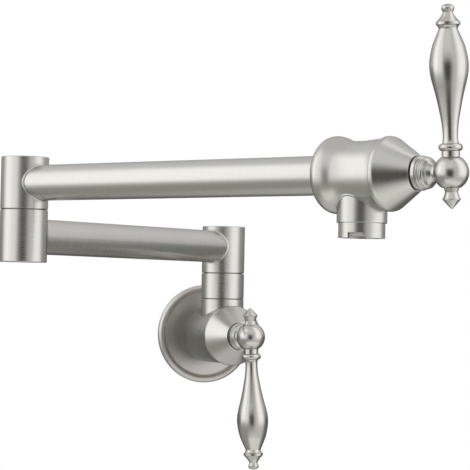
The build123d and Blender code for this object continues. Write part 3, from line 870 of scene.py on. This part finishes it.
@dataclass(frozen=True)
class ThreadedSpigot:
    """Inlet spigot with a threaded mouth and two O-ring grooves, in millimetres from the wall."""

    radius: float = 13.0
    length: float = 27.0
    flange_radius: float = 14.9
    flange_start: float = 2.0
    flange_end: float = 4.6
    bore: float = 9.5
    thread_length: float = 15.0
    thread_depth: float = 0.95
    pitch: float = 1.814
    crest: float = 0.05
    waterway: float = 6.0
    ring_places: tuple[float, float] = (12.5, 16.5)
    ring_half_width: float = 0.95
    ring_floor: float = 11.36
    edge: float = 0.3
    steps: int = 96

    def build(self) -> None:
        """Adds the spigot in place of its CAD node, whose thread is a plain bore."""
        shape = spun([*self._outside(), *reversed(self._inside())], self.steps)
        stand_in("threaded_inlet_spigot", shape, LAYOUT.inlet(), Slot.BARE_BRASS, "inlet_spigot")

    def _outside(self) -> Outline:
        """Outline of the outside, over the flange and the O-ring grooves.

        Returns:
            Its corners, from the wall to the far end.
        """
        face, rim, floor = self.radius, self.flange_radius, self.ring_floor
        points = [(face - self.edge, 0.0), (face, self.edge), (face, self.flange_start)]
        points += [(rim, self.flange_start), (rim, self.flange_end), (face, self.flange_end)]
        for place in self.ring_places:
            low, high = place - self.ring_half_width, place + self.ring_half_width
            points += [(face, low), (floor, low), (floor, high), (face, high)]
        return [*points, (face, self.length - self.edge), (face - self.edge, self.length)]

    def _inside(self) -> Outline:
        """Outline of the threaded mouth and the waterway.

        Returns:
            Its corners, from the wall to the far end.
        """
        turns = int(self.thread_length / self.pitch)
        floor = self.bore + self.thread_depth
        points = thread_grooves(0.0, turns, self.pitch, self.crest, self.bore, floor)
        points += [(self.bore, self.thread_length), (self.waterway, self.thread_length)]
        return [*points, (self.waterway, self.length)]


@dataclass(frozen=True)
class HoneycombAerator:
    """Aerator insert whose face is a honeycomb, in millimetres.

    Its bottom is counted from the arm's axis, its pitch from cell to cell, and its wall is what lies between.
    """

    bottom: float = -33.65
    height: float = 8.4
    radius: float = 10.87
    rim: float = 1.1
    pitch: float = 2.2
    wall: float = 0.42
    steps: int = 96

    def build(self) -> None:
        """Adds the insert in place of its CAD node, whose holes are fewer."""
        nozzle = LAYOUT.nozzle()
        axis = Axis(nozzle.name, nozzle.point(self.bottom), nozzle.heading, nozzle.up)
        shape = bmesh.new()
        bmesh.ops.create_circle(shape, segments=self.steps, radius=self.radius)
        cell = (self.pitch - self.wall) / 3**0.5
        for spot in self._cells():
            bmesh.ops.create_circle(shape, segments=6, radius=cell, matrix=Matrix.Translation(spot))
        bmesh.ops.triangle_fill(shape, edges=shape.edges, use_beauty=True, use_dissolve=False)
        raised = bmesh.ops.extrude_face_region(shape, geom=shape.faces[:])["geom"]
        lifted = [part for part in raised if isinstance(part, bmesh.types.BMVert)]
        bmesh.ops.translate(shape, verts=lifted, vec=UP * self.height)
        stand_in("aerator_honeycomb", shape, axis, Slot.WHITE_PLASTIC, "aerator_insert")

    def _cells(self) -> list[Vector]:
        """Places of the cells.

        Returns:
            Centres of those that lie whole within the rim, row by row.
        """
        reach = self.radius - self.rim - self.pitch / 2
        row_height = self.pitch * 3**0.5 / 2
        count = int(self.radius / row_height) + 1
        spots = []
        for row in range(-count, count + 1):
            for place in range(-count, count + 1):
                spot = Vector(((place + row % 2 / 2) * self.pitch, row * row_height, 0))
                if spot.length <= reach:
                    spots.append(spot)
        return spots


# ---------------------------------------------------------------- studio


@dataclass(frozen=True)
class Viewpoint:
    """Camera of the photograph, by where it sees the origin, in millimetres, degrees and pixels."""

    distance: float = 1550.0
    azimuth: float = -18.79
    elevation: float = -1.76
    roll: float = 1.19
    focal_pixels: float = 2151.59
    frame_pixels: float = 470.0
    origin_pixel: tuple[float, float] = (203.16, 333.66)
    sensor: float = 36.0
    sight: float = 50000.0

    def place(self) -> None:
        """Adds the camera and makes it the scene's own."""
        az, el, roll = radians(self.azimuth), radians(self.elevation), radians(self.roll)
        back = Vector((sin(az) * cos(el), -cos(az) * cos(el), sin(el)))
        level = Vector((cos(az), sin(az), 0))
        over = back.cross(level)
        right = level * cos(roll) + over * sin(roll)
        up = over * cos(roll) - level * sin(roll)
        middle = self.frame_pixels / 2
        shift_right = (middle - self.origin_pixel[0]) / self.focal_pixels * self.distance
        shift_up = (self.origin_pixel[1] - middle) / self.focal_pixels * self.distance
        data = bpy.data.cameras.new("camera")
        data.sensor_width = self.sensor
        data.lens = self.focal_pixels / self.frame_pixels * self.sensor
        data.clip_end = self.sight * MM
        camera = bpy.data.objects.new("camera", data)
        turn = Matrix((right, up, back)).transposed().to_4x4()
        spot = right * shift_right + up * shift_up + back * self.distance
        camera.matrix_world = Matrix.Translation(spot * MM) @ turn
        bpy.context.scene.collection.objects.link(camera)
        bpy.context.scene.camera = camera


@dataclass(frozen=True)
class Panel:
    """Soft-edged panel of the light tent, by its direction from the object.

    Angles are in degrees. The turn is counted to the right from the camera's direction.
    """

    name: str
    turn: float
    elevation: float
    half_width: float
    half_height: float
    radiance: float
    blur: float
    colour: Colour = WHITE

    def mask(self, graph: Graph, ray: Wire, camera_azimuth: float) -> Wire:
        """How much of a ray the panel covers.

        Args:
            graph: The tent's graph.
            ray: Direction of a place on the tent, of length 1.
            camera_azimuth: The camera's own azimuth.

        Returns:
            From 0, beside the panel, to 1.
        """
        az = radians(camera_azimuth + self.turn)
        ahead = graph.dot(ray, Vector((sin(az), -cos(az), 0)))
        aside = graph.dot(ray, Vector((cos(az), sin(az), 0)))
        turn = graph.math("ARCTAN2", aside, ahead)
        height = graph.math("ARCSINE", graph.dot(ray, UP)) - radians(self.elevation)
        return self._cover(turn, self.half_width) * self._cover(height, self.half_height)

    def _cover(self, angle: Wire, half: float) -> Wire:
        """1 within the panel, 0 beyond it, and a half at its edge, for an angle from its middle."""
        return ((radians(half) - abs(angle)) / radians(self.blur) + 0.5).clamped()


WARM_DARK: Colour = (1.1, 1.0, 0.8)
FLOOR_LIGHT: Colour = (0.97, 1.0, 0.92)
FRONT_LIGHT: Colour = (0.97, 1.0, 0.95)


@dataclass(frozen=True)
class Studio:
    """White studio: a pale floor, and a light tent round the object that the camera sees through.

    The floor's glow is the share of it that the camera sees as plain white. Sizes are in millimetres.
    """

    view: Viewpoint = Viewpoint()
    panels: tuple[Panel, ...] = (
        Panel("back_wall", 180.0, 14.0, 50.0, 14.0, 0.64, 16.0),
        Panel("back_top", 180.0, 48.0, 80.0, 22.0, 0.8, 16.0),
        Panel("left_box", -66.0, 22.0, 26.0, 33.0, 1.42, 24.0),
        Panel("left_fill", -42.0, 15.0, 14.0, 34.0, 1.1, 12.0),
        Panel("right_box", 62.0, 31.0, 24.0, 42.0, 1.28, 16.0),
        Panel("over_camera", -2.0, 34.0, 20.0, 18.0, 0.8, 16.0),
        Panel("camera_side", -4.0, -3.0, 17.0, 19.0, 0.05, 15.0, WARM_DARK),
        Panel("back_floor", 180.0, -20.0, 85.0, 26.0, 0.17, 16.0, FLOOR_LIGHT),
        Panel("left_floor", -76.0, -34.0, 60.0, 22.0, 0.36, 20.0, FLOOR_LIGHT),
        Panel("right_floor", 118.0, -31.0, 30.0, 22.0, 0.22, 14.0, FLOOR_LIGHT),
        Panel("front_floor", 25.0, -50.0, 68.0, 14.0, 0.95, 12.0, FRONT_LIGHT),
    )
    opening: Panel = Panel("opening", 180.0, 4.0, 14.0, 10.0, 1.0, 6.0)
    surround: Colour = (0.65, 0.65, 0.65)
    tent_radius: float = 1300.0
    tent_segments: int = 64
    floor_height: float = -550.0
    floor_size: float = 6000.0
    floor_colour: Colour = (0.8, 0.8, 0.77)
    floor_glow: float = 0.9

    def build(self) -> None:
        """Adds the camera, the backdrop, the tent and the floor."""
        self.view.place()
        self._backdrop()
        self._tent()
        self._floor()
        bpy.context.scene.view_settings.view_transform = "Standard"
        log.info("studio: %s", ", ".join(panel.name for panel in (*self.panels, self.opening)))

    def _backdrop(self) -> None:
        """World that is plain white where the camera, metal and glass show it, and dimmer as a light."""
        world = bpy.data.worlds.new("studio")
        graph = Graph(world)
        colour = graph.tint(self.surround, WHITE, graph.rays(Ray.CAMERA, Ray.GLOSSY, Ray.TRANSMISSION))
        backdrop = graph.wire("ShaderNodeBackground", sockets={"Color": colour})
        graph.node("ShaderNodeOutputWorld", sockets={"Surface": backdrop})
        bpy.context.scene.world = world

    def _tent(self) -> None:
        """Tent with its panels painted over one another, open behind the object."""
        shape = bmesh.new()
        around, upwards = self.tent_segments, self.tent_segments // 2
        bmesh.ops.create_uvsphere(shape, u_segments=around, v_segments=upwards, radius=self.tent_radius * MM)
        material = bpy.data.materials.new("light_tent")
        graph = Graph(material)
        place = graph.object_place()
        ray = graph.wire("ShaderNodeVectorMath", settings={"operation": "NORMALIZE"}, sockets={0: place})
        light: Colour | Wire = self.surround
        for panel in self.panels:
            shine = scaled(panel.colour, panel.radiance)
            light = graph.tint(light, shine, panel.mask(graph, ray, self.view.azimuth))
        glow = graph.wire("ShaderNodeEmission", sockets={"Color": light})
        clear = graph.wire("ShaderNodeBsdfTransparent")
        opening = graph.rays(Ray.CAMERA) + self.opening.mask(graph, ray, self.view.azimuth)
        graph.end_material(graph.blend(glow, clear, opening.clamped()))
        scene_object("tent", shape, material)

    def _floor(self) -> None:
        """Pale floor, nearly white to the camera but for the object's shadow, and clear from beneath."""
        shape = bmesh.new()
        bmesh.ops.create_grid(shape, x_segments=1, y_segments=1, size=self.floor_size * MM / 2)
        bmesh.ops.translate(shape, verts=shape.verts, vec=UP * self.floor_height * MM)
        material = bpy.data.materials.new("pale_floor")
        graph = Graph(material)
        matte = graph.wire("ShaderNodeBsdfDiffuse", sockets={"Color": opaque(self.floor_colour)})
        white = graph.wire("ShaderNodeEmission", sockets={"Color": opaque(WHITE)})
        pale = graph.blend(matte, white, graph.rays(Ray.CAMERA) * self.floor_glow)
        clear = graph.wire("ShaderNodeBsdfTransparent")
        unseen = graph.wire("ShaderNodeNewGeometry", "Backfacing") + graph.rays(Ray.GLOSSY)
        graph.end_material(graph.blend(pale, clear, unseen.clamped()))
        scene_object("floor", shape, material)


# ---------------------------------------------------------------- CAD nodes


def node_axis(node: str) -> Axis:
    """Axis that a CAD node is brushed about.

    Args:
        node: The node's name.

    Returns:
        The axis.
    """
    if node.endswith(("_lever", "_finial")):
        return LAYOUT.handle(Valve(node.split("_")[0]))
    if node == "lower_arm_tube":
        return LAYOUT.lower_arm()
    if node.startswith("column"):
        return LAYOUT.column()
    if node.startswith("elbow"):
        return LAYOUT.elbow()
    if node.startswith(("spout_nozzle", "aerator")):
        return LAYOUT.nozzle()
    if node.startswith(("spout", "upper")):
        return LAYOUT.upper_arm()
    return LAYOUT.inlet()


def dress_nodes() -> None:
    """Gives every CAD node its slot's finish, and the flange a softer one."""
    slots = {part["node"]: Slot(part["material_slot"]) for part in frame["record"]["subparts"]}
    for node, piece in frame["nodes"].items():
        finish = SOFT_NICKEL if node == "wall_flange" else FINISHES[slots[node]]
        material = finish.material(node_axis(node))
        for place in piece.material_slots:
            place.material = material
        log.info("node %s: %s", node, material.name)


def main() -> None:
    """Builds the studio and every piece."""
    logging.basicConfig(level=logging.INFO, format="%(message)s")
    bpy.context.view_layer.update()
    Studio().build()
    dress_nodes()
    # The collar's black ring is painted shade, standing in for the shadow in the gap at its foot.
    for piece in (SolderBeads(), CollarShadowRing(), GrubScrews(), ThreadedSpigot(), HoneycombAerator()):
        piece.build()


if __name__ == "__main__":
    main()
